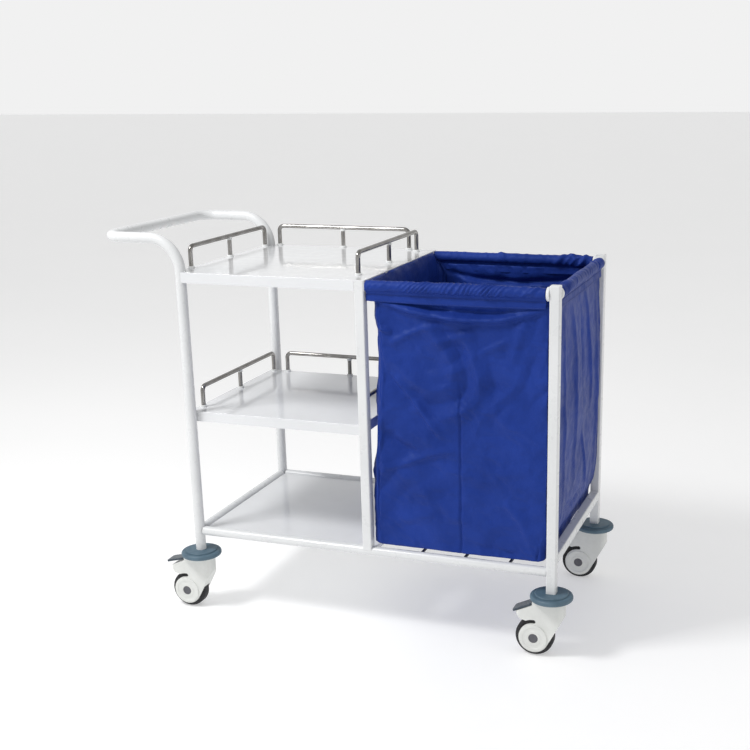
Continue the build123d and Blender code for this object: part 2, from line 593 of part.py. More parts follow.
def brake_pedal(pressed):
    """A flat pad on a narrow root with two trunnions."""
    half = PEDAL_THICK / 2
    pad = extrude(RectangleRounded(PEDAL_LENGTH - PEDAL_ROOT, 2 * PEDAL_HALF, PEDAL_CORNER), PEDAL_THICK)
    pad = fillet(pad.edges().group_by(Axis.Z)[-1], PEDAL_ROUND)
    pad = Pos(-(PEDAL_LENGTH + PEDAL_ROOT) / 2, 0, -half) * pad
    root = Pos(-PEDAL_ROOT / 2 - 1, 0, 0) * Box(PEDAL_ROOT + 2, ROOT_WIDTH, PEDAL_THICK)
    barrel = Rot(90, 0, 0) * (Cylinder(BARREL_R, ROOT_WIDTH) + Cylinder(TRUNNION_R, TRUNNION_LENGTH))
    slope = PEDAL_DOWN_ANGLE if pressed else PEDAL_DOWN_ANGLE - PEDAL_TRAVEL
    return Pos(PEDAL_PIVOT[0], 0, PEDAL_PIVOT[1]) * Rot(0, -slope, 0) * (pad + root + barrel)


def caster_pieces(pressed):
    return {
        "housing": housing(),
        "side_covers": side_covers(),
        "axle": axle(),
        "hub_caps": hub_caps(),
        "wheel_core": wheel_core(),
        "tyre": tyre(),
        "brake_pedal": brake_pedal(pressed),
    }


# ---------------------------------------------------------------- all nodes
def trolley():
    """Every node of the trolley, by name."""
    places = all_guards()
    nodes = {
        "push_handle": push_handle(),
        "post_caps": post_caps(),
        "base_rail_left": base_left_rail(),
        "right_cross_rail": right_cross_rail(),
        "bag_rail_right": bag_cross_rail(RIGHT_X, BAG_RAIL_Z),
        "bag_rail_left": bag_cross_rail(MIDDLE_X, BAG_RAIL_LEFT_Z),
        "rail_collars": rail_collars(),
        "top_tray": top_tray(),
        "middle_tray": middle_tray(),
        "deck_panel": deck_panel(),
        "guard_feet": guard_feet(places),
        "guard_saddles": guard_saddles(places),
        "bag_rods": bag_rods(),
        "linen_bag": linen_bag(),
        "bumpers": bumpers(),
        "caster_stems": caster_stems(),
    }
    for side, y in SIDES.items():
        nodes[f"left_post_{side}"] = left_post(y)
        nodes[f"middle_post_{side}"] = middle_post(y)
        nodes[f"right_post_{side}"] = right_post(y)
        nodes[f"base_rail_{side}"] = base_side_rail(y)
        nodes[f"bag_rail_{side}"] = bag_side_rail(y)
    for name, place in places.items():
        nodes[name] = guard(*place)
    for corner, (x, y, pressed) in CASTERS.items():
        for piece, shape in caster_pieces(pressed).items():
            solids = shape if isinstance(shape, list) else [shape]
            nodes[f"{piece}_{corner}"] = [Pos(x, y, 0) * solid for solid in solids]
    return nodes


def export_nodes(nodes):
    os.makedirs("parts", exist_ok=True)
    for name, shape in nodes.items():
        solids = shape if isinstance(shape, list) else [shape]
        group = solids[0] if len(solids) == 1 else Compound(children=list(solids))
        export_step(group, f"parts/{name}.step")


export_nodes(trolley())
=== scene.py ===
from math import cos, pi, radians, sin

import bpy
import numpy as np
from mathutils import Matrix, Vector


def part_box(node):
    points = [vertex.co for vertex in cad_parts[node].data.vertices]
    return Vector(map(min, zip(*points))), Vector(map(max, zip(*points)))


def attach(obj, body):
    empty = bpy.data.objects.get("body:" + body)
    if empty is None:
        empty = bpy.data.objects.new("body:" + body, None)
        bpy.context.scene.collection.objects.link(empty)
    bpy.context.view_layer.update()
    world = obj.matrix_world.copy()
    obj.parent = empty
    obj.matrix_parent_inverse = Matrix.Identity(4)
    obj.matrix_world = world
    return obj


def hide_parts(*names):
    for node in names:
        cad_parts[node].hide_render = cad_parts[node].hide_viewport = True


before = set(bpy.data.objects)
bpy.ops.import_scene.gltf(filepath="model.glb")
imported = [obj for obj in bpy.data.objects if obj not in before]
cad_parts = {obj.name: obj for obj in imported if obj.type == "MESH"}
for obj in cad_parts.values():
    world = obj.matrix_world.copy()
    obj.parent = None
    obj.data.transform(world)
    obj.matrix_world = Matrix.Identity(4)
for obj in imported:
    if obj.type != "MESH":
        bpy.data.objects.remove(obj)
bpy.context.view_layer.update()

# Metres, in the trolley's own frame: +X from the push handle to the bag, +Y from the front to the rear,
# +Z up, with the origin on the floor.
CORNERS = ("front_left", "front_right", "rear_left", "rear_right")
RNG = np.random.default_rng(7)


def middle(node):
    """The middle of a CAD node's box."""
    low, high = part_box(node)
    return (low + high) / 2


# ---------------------------------------------------------------- places read from the frame
RAIL_FRONT = middle("bag_rail_front")
RAIL_REAR = middle("bag_rail_rear")
RAIL_RIGHT = middle("bag_rail_right")
RAIL_LEFT = middle("bag_rail_left")
RAIL_RADIUS = (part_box("bag_rail_front")[1].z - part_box("bag_rail_front")[0].z) / 2
BAG_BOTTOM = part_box("linen_bag")[0].z
TRAY_EDGE, TRAY_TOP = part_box("top_tray")[1].x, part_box("top_tray")[1].z
POST_LEFT_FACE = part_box("right_post_front")[0].x
POST_INNER_Y = -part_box("right_post_front")[1].y


# ---------------------------------------------------------------- smooth functions
def smooth(t):
    """0 below 0 and 1 above 1, with a smooth step between."""
    t = np.clip(t, 0.0, 1.0)
    return t * t * (3 - 2 * t)


def curve_through(points, z):
    """A smooth curve through (height, value) points, read at height z."""
    heights = np.array([p[0] for p in points])
    values = np.array([p[1] for p in points])
    slopes = np.gradient(values, heights)
    i = np.clip(np.searchsorted(heights, z) - 1, 0, len(heights) - 2)
    span = heights[i + 1] - heights[i]
    t = np.clip((z - heights[i]) / span, 0, 1)
    h00, h10 = 2 * t**3 - 3 * t**2 + 1, t**3 - 2 * t**2 + t
    h01, h11 = -2 * t**3 + 3 * t**2, t**3 - t**2
    return h00 * values[i] + h10 * span * slopes[i] + h01 * values[i + 1] + h11 * span * slopes[i + 1]


def ridge(u, z, points, width, height, right_width=1.0):
    """The push of a fold that follows a polyline and fades out at both ends.

    right_width is the width's share on the right-hand side of the way along the polyline."""
    nearest = np.full(u.shape, np.inf)
    travelled = np.zeros(u.shape)
    side = np.zeros(u.shape)
    done = 0.0
    for (u0, z0), (u1, z1) in zip(points, points[1:]):
        length = np.hypot(u1 - u0, z1 - z0)
        du, dz = (u1 - u0) / length, (z1 - z0) / length
        t = np.clip((u - u0) * du + (z - z0) * dz, 0, length)
        off_u, off_z = u - u0 - t * du, z - z0 - t * dz
        distance = np.hypot(off_u, off_z)
        nearer = distance < nearest
        nearest = np.where(nearer, distance, nearest)
        travelled = np.where(nearer, done + t, travelled)
        side = np.where(nearer, off_z * du - off_u * dz, side)
        done += length
    fade = np.sin(np.clip(travelled / done, 0, 1) * pi) ** 0.6
    reach = width * np.where(side > 0, 1.0, right_width)
    return height * fade * np.exp(-(nearest / reach) ** 2)


class Waves:
    """Smooth seeded noise: a sum of sines in two coordinates, between about -1 and 1."""

    def __init__(self, scale_u, scale_v, count=14):
        angle = RNG.uniform(0, 2 * pi, count)
        length = RNG.uniform(0.6, 1.6, count)
        self.u = 2 * pi * np.cos(angle) * length / scale_u
        self.v = 2 * pi * np.sin(angle) * length / scale_v
        self.phase = RNG.uniform(0, 2 * pi, count)

    def __call__(self, u, v):
        total = sum(np.sin(a * u + b * v + p) for a, b, p in zip(self.u, self.v, self.phase))
        return total / len(self.phase) ** 0.5 / 1.5


class Facets:
    """Flat facets between crisp fold lines, as in stiff coated cloth, in patches that come and go."""

    CRISPNESS = 0.985                 # 1 would make the fold lines perfectly sharp

    def __init__(self, length_u, length_z, slant, folds, height):
        self.field = Waves(length_u, length_z, 9)
        self.patches = Waves(length_u * 1.3, length_z * 1.3)
        self.slant, self.folds, self.height = slant, folds, height

    def __call__(self, u, z):
        turned = self.field(u + self.slant * z, z)
        triangle = np.arcsin(self.CRISPNESS * np.sin(self.folds * pi * turned)) * 2 / pi
        return self.height * smooth(0.5 + 1.1 * self.patches(u, z)) * triangle


# The seeded shapes of the bag, drawn in this order. Waves take their length along the cloth and across it,
# and Facets also their slant, number of folds and height.
SMALL_WAVES = Waves(0.11, 0.15)
LARGE_WAVES = Waves(0.30, 0.55)
CRUMPLES = [Facets(0.42, 0.30, 0.5, 2.0, 0.0062), Facets(0.20, 0.26, -0.7, 1.6, 0.0040),
            Facets(0.085, 0.07, 0.3, 1.2, 0.0016)]
HEM_WAVES = Waves(0.09, 0.12)
HEM_SWELL = Waves(0.16, 0.2)


# ---------------------------------------------------------------- meshes
def mesh_object(name, vertices, faces, uvs=None):
    mesh = bpy.data.meshes.new(name)
    mesh.from_pydata([tuple(v) for v in vertices], [], faces)
    mesh.update()
    if uvs is not None:
        layer = mesh.uv_layers.new(name="cloth")
        loops = np.zeros(len(mesh.loops), np.int32)
        mesh.loops.foreach_get("vertex_index", loops)
        layer.data.foreach_set("uv", np.asarray(uvs, np.float32)[loops].ravel())
    mesh.shade_smooth()
    piece = bpy.data.objects.new(name, mesh)
    bpy.context.scene.collection.objects.link(piece)
    return piece


def grid_faces(rows, columns, closed=False):
    """Quads of a grid of points, row by row. A closed grid joins each row's end to its start."""
    faces = []
    for r in range(rows - 1):
        for c in range(columns if closed else columns - 1):
            here, above, after = r * columns, (r + 1) * columns, (c + 1) % columns
            faces.append((here + c, here + after, above + after, above + c))
    return faces


def add_thickness(piece, thickness, offset=0.0):
    solid = piece.modifiers.new("thickness", "SOLIDIFY")
    solid.thickness = thickness
    solid.offset = offset


def join_parts(name, parts):
    """One object from several (vertices, faces) parts."""
    vertices, faces, count = [], [], 0
    for points, quads in parts:
        vertices.append(points)
        faces += [tuple(i + count for i in face) for face in quads]
        count += len(points)
    return mesh_object(name, np.concatenate(vertices), faces)


# ---------------------------------------------------------------- materials
def set_ramp(node, stops):
    """Gives a colour ramp node its (position, colour) stops."""
    elements = node.color_ramp.elements
    while len(elements) < len(stops):
        elements.new(0.5)
    for element, (position, colour) in zip(elements, stops):
        element.position = position
        element.color = (*colour, 1.0)


class Nodes:
    """A material's nodes, with short ways to add noise, colour and bump in object coordinates."""

    NOISE_RANGE = (0.3, 0.7)          # most of a noise's values lie between these

    def __init__(self, name):
        self.material = bpy.data.materials.new(name)
        self.material.use_nodes = True
        self.tree = self.material.node_tree
        self.shader = self.tree.nodes["Principled BSDF"]
        self.place = self.tree.nodes.new("ShaderNodeTexCoord")

    def link(self, source, target):
        self.tree.links.new(source, target)

    def new(self, kind, **inputs):
        node = self.tree.nodes.new(kind)
        for key, value in inputs.items():
            node.inputs[key.replace("_", " ")].default_value = value
        return node

    def noise(self, scale, detail=3.0, roughness=0.5, stretch=None):
        node = self.new("ShaderNodeTexNoise", Scale=scale, Detail=detail, Roughness=roughness)
        source = self.place.outputs["Object"]
        if stretch:
            mapping = self.new("ShaderNodeMapping", Scale=stretch)
            self.link(source, mapping.inputs["Vector"])
            source = mapping.outputs["Vector"]
        self.link(source, node.inputs["Vector"])
        return node.outputs["Fac"]

    def spread(self, noise, low, high):
        """A noise moved to the range from low to high."""
        bottom, top = self.NOISE_RANGE
        node = self.new("ShaderNodeMapRange", From_Min=bottom, From_Max=top, To_Min=low, To_Max=high)
        self.link(noise, node.inputs["Value"])
        return node.outputs["Result"]

    def math(self, operation, a, b=None):
        node = self.tree.nodes.new("ShaderNodeMath")
        node.operation = operation
        for socket, value in zip(node.inputs, (a, b)):
            if isinstance(value, (int, float)):
                socket.default_value = value
            elif value is not None:
                self.link(value, socket)
        return node.outputs["Value"]

    def colours(self, source, stops):
        node = self.tree.nodes.new("ShaderNodeValToRGB")
        set_ramp(node, stops)
        self.link(source, node.inputs["Fac"])
        return node.outputs["Color"]

    def bump(self, height, distance, strength=1.0, after=None):
        node = self.new("ShaderNodeBump", Strength=strength, Distance=distance)
        self.link(height, node.inputs["Height"])
        if after is not None:
            self.link(after, node.inputs["Normal"])
        return node.outputs["Normal"]

    def finish(self, colour, roughness, normal=None, **constants):
        self.link(colour, self.shader.inputs["Base Color"])
        self.link(roughness, self.shader.inputs["Roughness"])
        if normal is not None:
            self.link(normal, self.shader.inputs["Normal"])
        for key, value in constants.items():
            self.shader.inputs[key.replace("_", " ")].default_value = value
        return self.material


def powder_coat(name, dark, light, rough_low, rough_high, coat):
    """Sprayed and baked paint: faint clouding and orange peel under a clear gloss."""
    n = Nodes(name)
    clouding = n.noise(5.0, detail=4.0)
    smears = n.noise(38.0, detail=4.0)
    peel = n.bump(n.noise(420.0, detail=2.0), 0.00003)
    unevenness = n.bump(n.noise(9.0, detail=2.0), 0.0006, 0.25, after=peel)
    colour = n.colours(clouding, [(0.35, dark), (0.65, light)])
    return n.finish(colour, n.spread(smears, rough_low, rough_high), unevenness,
                    Coat_Weight=coat, Coat_Roughness=0.06)


def polished_steel():
    """Buffed stainless tube, with fine scratches and slight clouding."""
    n = Nodes("polished_steel")
    colour = n.colours(n.noise(30.0), [(0.3, (0.25, 0.24, 0.225)), (0.7, (0.38, 0.37, 0.36))])
    scratches = n.noise(900.0, detail=2.0, stretch=(1.0, 1.0, 0.15))
    return n.finish(colour, n.spread(scratches, 0.14, 0.30), n.bump(scratches, 0.00001), Metallic=1.0)


def plated_steel():
    """Dull zinc plating of the casters' stems and axles."""
    n = Nodes("plated_steel")
    colour = n.colours(n.noise(60.0), [(0.3, (0.42, 0.43, 0.45)), (0.7, (0.60, 0.61, 0.62))])
    grain = n.noise(700.0)
    return n.finish(colour, n.spread(grain, 0.28, 0.42), n.bump(grain, 0.00002), Metallic=1.0)


def moulded(name, dark, light, rough_low, rough_high):
    """Injection-moulded plastic or rubber with a fine spark-eroded texture."""
    n = Nodes(name)
    colour = n.colours(n.noise(22.0, detail=4.0, roughness=0.6), [(0.3, dark), (0.7, light)])
    flow = n.bump(n.noise(45.0, detail=2.0), 0.0002, 0.3)
    texture = n.bump(n.noise(1400.0, detail=2.0), 0.00004, after=flow)
    return n.finish(colour, n.spread(n.noise(85.0), rough_low, rough_high), texture)


def tyre_rubber():
    """Near-black rubber with floor dust in its texture."""
    n = Nodes("tyre_rubber")
    dust = n.noise(60.0, detail=5.0, roughness=0.65)
    colour = n.colours(dust, [(0.35, (0.008, 0.008, 0.010)), (0.75, (0.03, 0.03, 0.033))])
    texture = n.noise(800.0)
    return n.finish(colour, n.spread(texture, 0.55, 0.8), n.bump(texture, 0.00008))


def bag_cloth():
    """Coated plain-weave cloth: crossing threads under a thin shiny coat, with clouded colour."""
    n = Nodes("bag_cloth")
    weave_length = 0.0009             # one up and down of a thread
    across = n.tree.nodes.new("ShaderNodeSeparateXYZ")
    n.link(n.place.outputs["UV"], across.inputs["Vector"])
    warp, weft = (n.math("SINE", n.math("MULTIPLY", across.outputs[axis], 2 * pi / weave_length))
                  for axis in ("X", "Y"))
    weave = n.math("MULTIPLY", warp, weft)
    clouds = n.math("ADD", n.math("MULTIPLY", weave, 0.05), n.noise(7.0, detail=5.0, roughness=0.6))
    colour = n.colours(clouds, [(0.3, (0.0090, 0.028, 0.190)), (0.7, (0.0155, 0.043, 0.270))])
    roughness = n.spread(n.noise(40.0, detail=4.0), 0.40, 0.54)
    crumple = n.bump(n.noise(24.0, detail=6.0, roughness=0.6), 0.008, 0.60)
    threads = n.bump(weave, 0.00005, 0.5, after=crumple)
    return n.finish(colour, roughness, threads, Sheen_Weight=0.04, Sheen_Roughness=0.4,
                    Sheen_Tint=(0.2, 0.35, 1.0, 1.0), Specular_IOR_Level=0.2,
                    Specular_Tint=(0.45, 0.62, 1.0, 1.0))


def bag_thread():
    """Twisted sewing thread in the cloth's colour."""
    n = Nodes("bag_thread")
    colour = n.colours(n.noise(400.0, detail=2.0), [(0.3, (0.012, 0.03, 0.16)), (0.7, (0.03, 0.06, 0.30))])
    twist = n.noise(2500.0, detail=2.0)
    return n.finish(colour, n.spread(twist, 0.4, 0.6), n.bump(twist, 0.0001))


def studio_floor():
    """A pale floor that glows a little, so that it runs into the room behind it."""
    n = Nodes("studio_floor")
    colour = n.colours(n.noise(1.2), [(0.3, (0.70, 0.70, 0.70)), (0.7, (0.72, 0.72, 0.72))])
    return n.finish(colour, n.spread(n.noise(14.0), 0.5, 0.65), Emission_Strength=0.36,
                    Emission_Color=(1.0, 1.0, 1.0, 1.0))


def paint(material, *nodes):
    """Gives CAD nodes a material, in each of their slots."""
    for name in nodes:
        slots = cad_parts[name].data.materials
        if not len(slots):
            slots.append(material)
        for i in range(len(slots)):
            slots[i] = material


def at_corners(*pieces):
    """The names of the nodes that every caster has one of."""
    return [f"{piece}_{corner}" for piece in pieces for corner in CORNERS]


def paint_frame():
    """Paint and steel of the tube frame and the trays. The numbers give the colour, roughness and coat."""
    posts = [f"{place}_post_{side}" for place in ("left", "middle", "right") for side in ("front", "rear")]
    bag_rails = [f"bag_rail_{side}" for side in ("front", "rear", "right", "left")]
    base_rails = ["base_rail_front", "base_rail_rear", "base_rail_left", "right_cross_rail"]
    guards = [f"{tray}_guard_{side}" for tray in ("top", "middle") for side in ("left", "rear", "right")]
    frame_paint = powder_coat("white_frame_paint", (0.70, 0.71, 0.715), (0.75, 0.76, 0.765),
                              0.24, 0.38, coat=0.25)
    tray_paint = powder_coat("white_tray_paint", (0.72, 0.73, 0.745), (0.76, 0.77, 0.785),
                             0.10, 0.20, coat=0.5)
    # the bag's rods are near-black: painted shade for the bag's shadow that falls on them
    painted_shade_rods = powder_coat("rods_painted_shade", (0.015, 0.016, 0.020), (0.035, 0.036, 0.045),
                            0.30, 0.50, coat=0.1)
    white_plastic = moulded("white_plastic", (0.74, 0.75, 0.75), (0.80, 0.81, 0.81), 0.3, 0.45)
    paint(frame_paint, "push_handle", *posts, *base_rails, *bag_rails)
    paint(tray_paint, "top_tray", "middle_tray", "deck_panel")
    paint(painted_shade_rods, "bag_rods")
    paint(polished_steel(), *guards)
    paint(white_plastic, "post_caps", "rail_collars", "guard_feet", "guard_saddles")


def paint_casters():
    """Plastic, rubber and steel of the four casters. The numbers give the colour and the roughness."""
    bumper = moulded("bumper_rubber", (0.058, 0.108, 0.150), (0.095, 0.160, 0.210), 0.42, 0.6)
    shell = moulded("caster_shell", (0.68, 0.69, 0.665), (0.76, 0.77, 0.745), 0.36, 0.52)
    core = moulded("wheel_core_plastic", (0.40, 0.42, 0.41), (0.50, 0.52, 0.50), 0.4, 0.6)
    pedal = moulded("slate_plastic", (0.03, 0.045, 0.062), (0.05, 0.07, 0.092), 0.25, 0.4)
    hub_cap = moulded("hub_cap_plastic", (0.075, 0.075, 0.088), (0.12, 0.12, 0.135), 0.3, 0.45)
    paint(plated_steel(), "caster_stems", *at_corners("axle"))
    paint(bumper, "bumpers")
    paint(shell, *at_corners("housing", "side_covers"))
    paint(core, *at_corners("wheel_core"))
    paint(pedal, *at_corners("brake_pedal"))
    paint(hub_cap, *at_corners("hub_caps"))
    paint(tyre_rubber(), *at_corners("tyre"))


# ---------------------------------------------------------------- the bag's sizes
CLOTH = 0.0008                        # thickness of the cloth
COLLAR_LENGTH = 0.008                 # plastic collar between a post and a hem
HEM_GAP = 0.001                       # hem to the collar or the tray beside it
HEM_START = TRAY_EDGE + HEM_GAP       # the front and rear hems, from here
HEM_END = POST_LEFT_FACE - COLLAR_LENGTH - HEM_GAP   # to here
HEM_REACH = POST_INNER_Y - COLLAR_LENGTH - HEM_GAP   # half the length of the left and right hems

WALL_TOP = RAIL_FRONT.z - 0.020       # the walls start inside the hems
FLOOR_Z = BAG_BOTTOM - 0.004          # the floor sags a little towards the bars under it
WALL_CORNER = 0.022                   # radius of the bag's upright corners
POST_CLEAR = 0.003                    # cloth to the right posts
RISE_FROM = 0.87                      # the left wall's top rises from this height
RISE_GAP = 0.0015                     # the risen edge to the tray's top face
RISE_FADE = 0.012                     # the rise fades out over this length before the posts
HANG = 0.0035                         # the front and rear walls stand this far outside their rails' axes
BULGE = 0.0015                        # and bulge by this much at half height
DRAWN_IN = 0.007                      # the hems draw them in by this much
DRAWN_FROM = 0.80                     # from this height upwards
# the left and right walls from below: (height, distance right of the top tray's edge)
LEFT_FACE = [(FLOOR_Z, 0.0050), (0.30, 0.0030), (0.43, 0.0045), (0.56, 0.0145), (0.66, 0.0200),
             (0.72, 0.0225), (0.783, 0.0235), (0.821, 0.0205), (0.853, 0.0125), (0.89, 0.0110),
             (WALL_TOP, 0.0020)]
RIGHT_FACE = [(FLOOR_Z, 0.4590), (0.285, 0.4620), (0.31, 0.4740), (0.34, 0.4800), (0.50, 0.4850),
              (0.64, 0.4870), (0.80, 0.4850), (WALL_TOP, 0.4805)]

FOOT_RADIUS = 0.006                   # round edge between walls and floor
FOOT_ROWS = 6
FLOOR_REACH = 0.205                   # rows reach this far in from the round edge; a fan closes the rest
FLOOR_ROWS = 34
FLOOR_SHARE = 0.15                    # share of the walls' folds that goes on into the floor
FLOOR_WAVE = 0.0025                   # height of the floor's soft waves
SMALL_WAVE, LARGE_WAVE = 0.0012, 0.0022   # height of the walls' soft waves
STEP = 0.004                          # spacing of the walls' rows
AROUND = 720                          # points of one row

CREASE_X = 0.2430                     # upright line pressed into the front and rear walls, from the tray
CREASE_TOP, CREASE_FADE = 0.73, 0.10  # it starts at this height and deepens over this length
CREASE_WIDTH, CREASE_DEPTH = 0.0030, 0.0042

# Folds of the walls: points, width, height outwards, and the width's share on the right-hand side of the
# way along the points. A point is (distance right of the tray's edge, z) on the front and rear walls, and
# (y, z) on the right and left walls.
FRONT_FOLDS = [
    ([(0.0305, 0.893), (0.0905, 0.878), (0.1655, 0.865), (0.2705, 0.858), (0.3455, 0.861),
      (0.4255, 0.880), (0.4655, 0.895)], 0.010, 0.0180, 0.55),
    ([(0.0405, 0.905), (0.1255, 0.888), (0.2155, 0.878), (0.3255, 0.876), (0.4155, 0.890)],
     0.007, -0.0120, 1.0),
    ([(0.2005, 0.842), (0.1465, 0.833), (0.1015, 0.813), (0.0605, 0.788)], 0.010, 0.0066, 0.6),
    ([(0.3755, 0.816), (0.3305, 0.796), (0.2905, 0.774)], 0.012, 0.0066, 0.6),
    ([(0.4105, 0.87), (0.3855, 0.80), (0.3655, 0.74)], 0.014, 0.0048, 1.0),
    ([(0.0255, 0.830), (0.0435, 0.823), (0.0655, 0.817)], 0.006, 0.0090, 0.7),
    ([(0.0605, 0.715), (0.1245, 0.643), (0.1685, 0.587), (0.1955, 0.552)], 0.012, 0.0090, 0.5),
    ([(0.0855, 0.700), (0.1405, 0.650), (0.1955, 0.58)], 0.016, -0.0045, 1.0),
    ([(0.0205, 0.568), (0.0875, 0.525), (0.1275, 0.510)], 0.012, -0.0090, 1.0),
    ([(0.0255, 0.452), (0.1075, 0.486), (0.1755, 0.512), (0.2305, 0.526)], 0.014, 0.0090, 0.5),
    ([(0.1875, 0.392), (0.2135, 0.345), (0.2705, 0.340)], 0.014, 0.0054, 0.8),
    ([(0.0405, 0.31), (0.1105, 0.335), (0.1655, 0.345)], 0.018, 0.0060, 0.8),
    ([(0.3555, 0.400), (0.3975, 0.359), (0.4275, 0.290)], 0.016, 0.0072, 0.6),
    ([(0.3055, 0.66), (0.3655, 0.60), (0.4355, 0.585)], 0.016, 0.0048, 0.8),
    ([(0.2755, 0.50), (0.3355, 0.47), (0.4255, 0.49)], 0.016, 0.0042, 0.8),
]
REAR_FOLDS = [
    ([(0.0305, 0.888), (0.1255, 0.868), (0.2455, 0.862), (0.3655, 0.870), (0.4655, 0.890)],
     0.010, 0.0150, 0.55),
    ([(0.0655, 0.80), (0.1655, 0.70), (0.2255, 0.58)], 0.014, 0.0078, 0.6),
    ([(0.4155, 0.82), (0.3355, 0.70), (0.3055, 0.58)], 0.014, 0.0072, 0.6),
    ([(0.0455, 0.50), (0.1355, 0.44), (0.2155, 0.46)], 0.016, 0.0072, 0.6),
    ([(0.4255, 0.46), (0.3655, 0.38), (0.3255, 0.28)], 0.016, 0.0072, 0.6),
]
RIGHT_FOLDS = [
    ([(0.055, 0.89), (0.080, 0.80), (0.105, 0.68), (0.130, 0.55)], 0.016, 0.0075, 0.6),
    ([(-0.095, 0.89), (-0.065, 0.74), (-0.050, 0.56), (-0.048, 0.40)], 0.018, 0.00675, 0.7),
    ([(-0.185, 0.89), (-0.175, 0.70), (-0.170, 0.45), (-0.165, 0.31)], 0.014, 0.0045, 0.8),
    ([(0.190, 0.89), (0.200, 0.72), (0.205, 0.50), (0.195, 0.33)], 0.018, 0.0060, 0.7),
    ([(-0.01, 0.87), (0.01, 0.76), (0.02, 0.62)], 0.012, -0.0045, 1.0),
    ([(0.03, 0.52), (0.06, 0.42), (0.10, 0.33)], 0.014, 0.0060, 0.6),
    ([(-0.13, 0.36), (-0.05, 0.335), (0.03, 0.345), (0.12, 0.33)], 0.010, -0.0060, 1.0),
]
LEFT_FOLDS = [
    ([(-0.24, 0.835), (-0.14, 0.815), (0.0, 0.80), (0.14, 0.81), (0.24, 0.83)], 0.012, 0.0080, 0.6),
    ([(-0.16, 0.79), (-0.13, 0.66), (-0.15, 0.50)], 0.018, 0.0070, 0.7),
    ([(0.10, 0.80), (0.07, 0.64), (0.10, 0.42)], 0.018, 0.0070, 0.7),
    ([(-0.05, 0.52), (0.03, 0.45), (0.12, 0.30)], 0.014, 0.0050, 0.7),
]


# ---------------------------------------------------------------- bag walls and floor
def front_face(z):
    """How far the front and rear walls stand outside their rails' axes."""
    drawn_in = DRAWN_IN * smooth((z - DRAWN_FROM) / (WALL_TOP - DRAWN_FROM))
    return HANG - drawn_in + BULGE * np.sin((z - FLOOR_Z) / (WALL_TOP - FLOOR_Z) * pi)


def rounded_loop(x0, x1, y0, y1, corner, count):
    """Points of a rounded rectangle, their outward normals and their distances along it.

    The order starts in the middle of the left wall and runs to the front, right and rear walls."""
    width, depth = x1 - x0, y1 - y0
    quarter = corner * pi / 2
    lengths = [depth / 2 - corner, quarter, width - 2 * corner, quarter, depth - 2 * corner, quarter,
               width - 2 * corner, quarter, depth / 2 - corner]
    ends = np.cumsum(lengths)
    s = np.linspace(0, ends[-1], count, endpoint=False)
    piece = np.searchsorted(ends, s, side="right")
    t = s - np.concatenate([[0], ends])[piece]
    x, y, nx, ny = (np.zeros(count) for _ in range(4))
    straight = {0: (x0, (y0 + y1) / 2, 0, -1, -1, 0), 2: (x0 + corner, y0, 1, 0, 0, -1),
                4: (x1, y0 + corner, 0, 1, 1, 0), 6: (x1 - corner, y1, -1, 0, 0, 1),
                8: (x0, y1 - corner, 0, -1, -1, 0)}
    for k, (start_x, start_y, dx, dy, out_x, out_y) in straight.items():
        on = piece == k
        x[on], y[on] = start_x + dx * t[on], start_y + dy * t[on]
        nx[on], ny[on] = out_x, out_y
    turns = {1: (x0 + corner, y0 + corner, pi), 3: (x1 - corner, y0 + corner, 1.5 * pi),
             5: (x1 - corner, y1 - corner, 0.0), 7: (x0 + corner, y1 - corner, 0.5 * pi)}
    for k, (centre_x, centre_y, start) in turns.items():
        on = piece == k
        angle = start + t[on] / corner
        nx[on], ny[on] = np.cos(angle), np.sin(angle)
        x[on], y[on] = centre_x + corner * nx[on], centre_y + corner * ny[on]
    return x, y, nx, ny, s


def facing(component):
    """1 on the wall that faces a direction, falling to 0 round its corners."""
    return smooth((component - 0.5) * 4)


def wall_folds(x, y, nx, ny, z):
    """Outward push of the walls: listed folds, a crease, soft waves and crumpled facets."""
    across = x - TRAY_EDGE
    on_front, on_rear, on_right, on_left = facing(-ny), facing(ny), facing(nx), facing(-nx)
    push = np.zeros(x.shape)
    for folds, u, share in ((FRONT_FOLDS, across, on_front), (REAR_FOLDS, across, on_rear),
                            (RIGHT_FOLDS, y, on_right), (LEFT_FOLDS, y, on_left)):
        push += share * sum(ridge(u, z, *fold) for fold in folds)
    crease = np.exp(-((across - CREASE_X) / CREASE_WIDTH) ** 2) * smooth((CREASE_TOP - z) / CREASE_FADE)
    push -= CREASE_DEPTH * crease * (on_front + on_rear)
    push += SMALL_WAVE * SMALL_WAVES(x + y, z) + LARGE_WAVE * LARGE_WAVES(x - y, z)
    # each wall reads its own stretch of the facets; they fade at the corners and are low on the right wall
    stretch = 3.0 * (ny < -0.7) + 5.0 * (nx > 0.7) + 7.0 * (ny > 0.7)
    along_wall = x * np.abs(ny) + y * np.abs(nx) + stretch
    share = np.maximum(np.abs(nx), np.abs(ny)) ** 8 * (1 - 0.8 * on_right)
    return push + share * sum(facets(along_wall, z) for facets in CRUMPLES)


def rise_to_tray(y, nx, z):
    """How far the top of the left wall rises, to hide the tray's short rim beside it."""
    share = facing(-nx) * smooth((POST_INNER_Y - np.abs(y)) / RISE_FADE)
    return (TRAY_TOP - RISE_GAP - WALL_TOP) * share * smooth((z - RISE_FROM) / (WALL_TOP - RISE_FROM))


def keep_clear_of_posts(x, y):
    """Draws the cloth in where it would touch the right posts."""
    left = POST_LEFT_FACE - POST_CLEAR
    inner = POST_INNER_Y - POST_CLEAR
    over_x, over_y = x - left, np.abs(y) - inner
    inside = (over_x > 0) & (over_y > 0)
    by_x = inside & (over_x <= over_y)
    by_y = inside & (over_x > over_y)
    return np.where(by_x, left, x), np.where(by_y, np.sign(y) * inner, y)


